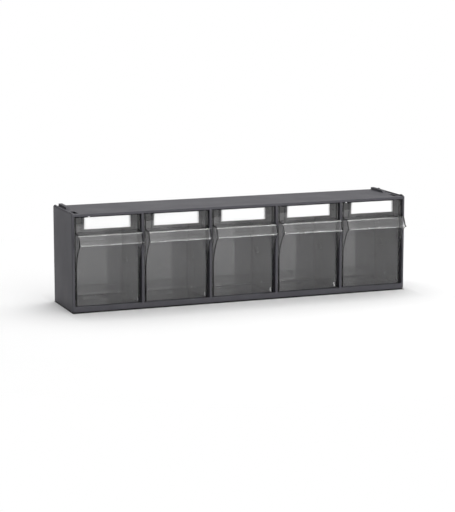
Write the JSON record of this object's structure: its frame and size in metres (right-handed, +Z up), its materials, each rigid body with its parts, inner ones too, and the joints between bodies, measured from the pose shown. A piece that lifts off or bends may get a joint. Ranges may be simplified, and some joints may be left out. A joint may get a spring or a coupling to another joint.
{
  "type": "tilt-out parts bin unit",
  "caption": "Wide moulded case holding a row of clear tilt-out bins, each with a hooded pull lip and a label card; stacks with others or hangs on a wall to sort small parts.",
  "frame": {"origin": "on the ground, under the middle of the unit's whole width and depth with the bins shut", "axes": "+X along the row of bins to the right as seen from the front, +Y to the back, +Z up"},
  "size_m": [0.6, 0.1315, 0.167],
  "materials": {
    "case_plastic": "satin, fine texture",
    "clear_plastic": "clear, polished",
    "label_paper": "plain white card"
  },
  "bodies": {
    "case": {"top_panel": "case_plastic", "bottom_panel": "case_plastic", "back_panel": "case_plastic", "left_end_panel": "case_plastic", "right_end_panel": "case_plastic", "divider_1": "case_plastic", "divider_2": "case_plastic", "divider_3": "case_plastic", "divider_4": "case_plastic"},
    "tilt_bin_1": {"bin_1": "clear_plastic", "label_card_1": "label_paper"},
    "tilt_bin_2": {"bin_2": "clear_plastic", "label_card_2": "label_paper"},
    "tilt_bin_3": {"bin_3": "clear_plastic", "label_card_3": "label_paper"},
    "tilt_bin_4": {"bin_4": "clear_plastic", "label_card_4": "label_paper"},
    "tilt_bin_5": {"bin_5": "clear_plastic", "label_card_5": "label_paper"}
  },
  "joints": [
    {"name": "bin_1_tilt", "type": "hinge", "parent": "case", "child": "tilt_bin_1", "pos_m": [-0.2384, -0.03105, 0.015], "axis": [1, 0, 0], "range_deg": [0, 45]},
    {"name": "bin_2_tilt", "type": "hinge", "parent": "case", "child": "tilt_bin_2", "pos_m": [-0.1192, -0.03105, 0.015], "axis": [1, 0, 0], "range_deg": [0, 45]},
    {"name": "bin_3_tilt", "type": "hinge", "parent": "case", "child": "tilt_bin_3", "pos_m": [0, -0.03105, 0.015], "axis": [1, 0, 0], "range_deg": [0, 45]},
    {"name": "bin_4_tilt", "type": "hinge", "parent": "case", "child": "tilt_bin_4", "pos_m": [0.1192, -0.03105, 0.015], "axis": [1, 0, 0], "range_deg": [0, 45]},
    {"name": "bin_5_tilt", "type": "hinge", "parent": "case", "child": "tilt_bin_5", "pos_m": [0.2384, -0.03105, 0.015], "axis": [1, 0, 0], "range_deg": [0, 45]}
  ]
}
